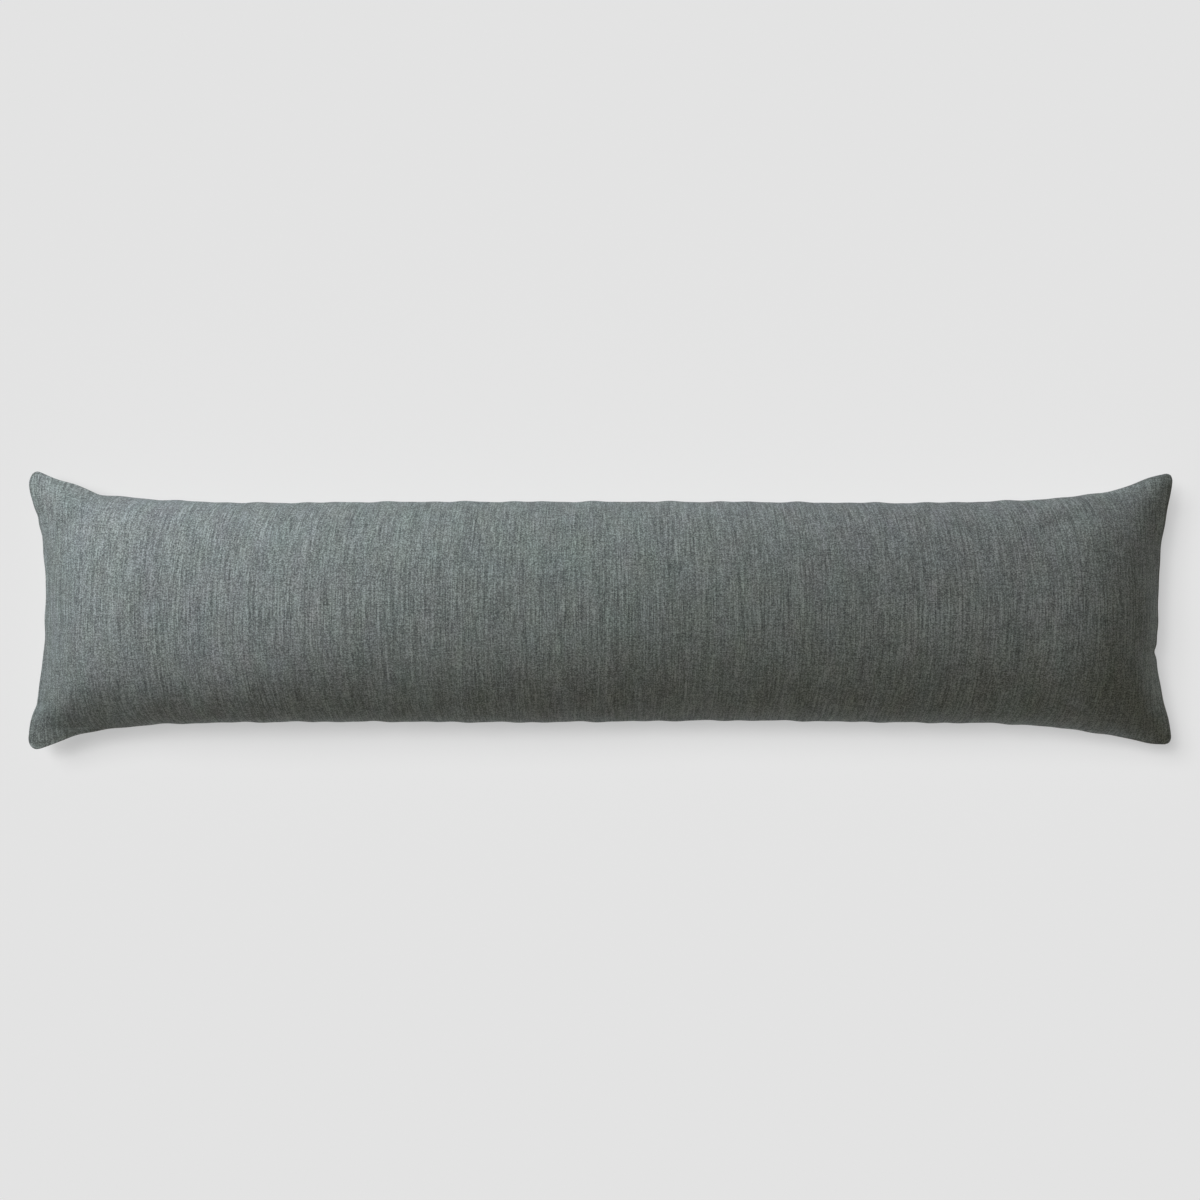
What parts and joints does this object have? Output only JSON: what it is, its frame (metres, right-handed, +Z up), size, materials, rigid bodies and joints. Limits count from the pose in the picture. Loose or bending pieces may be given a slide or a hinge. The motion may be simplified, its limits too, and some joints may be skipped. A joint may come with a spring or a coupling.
{
  "type": "lumbar pillow",
  "caption": "Extra-long rectangular lumbar pillow in plain slubbed linen, with a full rounded crown, drawn-in knife edges and eared corners.",
  "frame": {"origin": "on the surface that the pillow rests on, under the middle of its bounding box", "axes": "+X along the pillow, +Y across it, +Z up, out of its face"},
  "size_m": [1.2066, 0.2916, 0.1358],
  "materials": {
    "linen": "matte slubbed plain weave"
  },
  "bodies": {
    "root": {"filled_cover": "linen"}
  },
  "joints": []
}
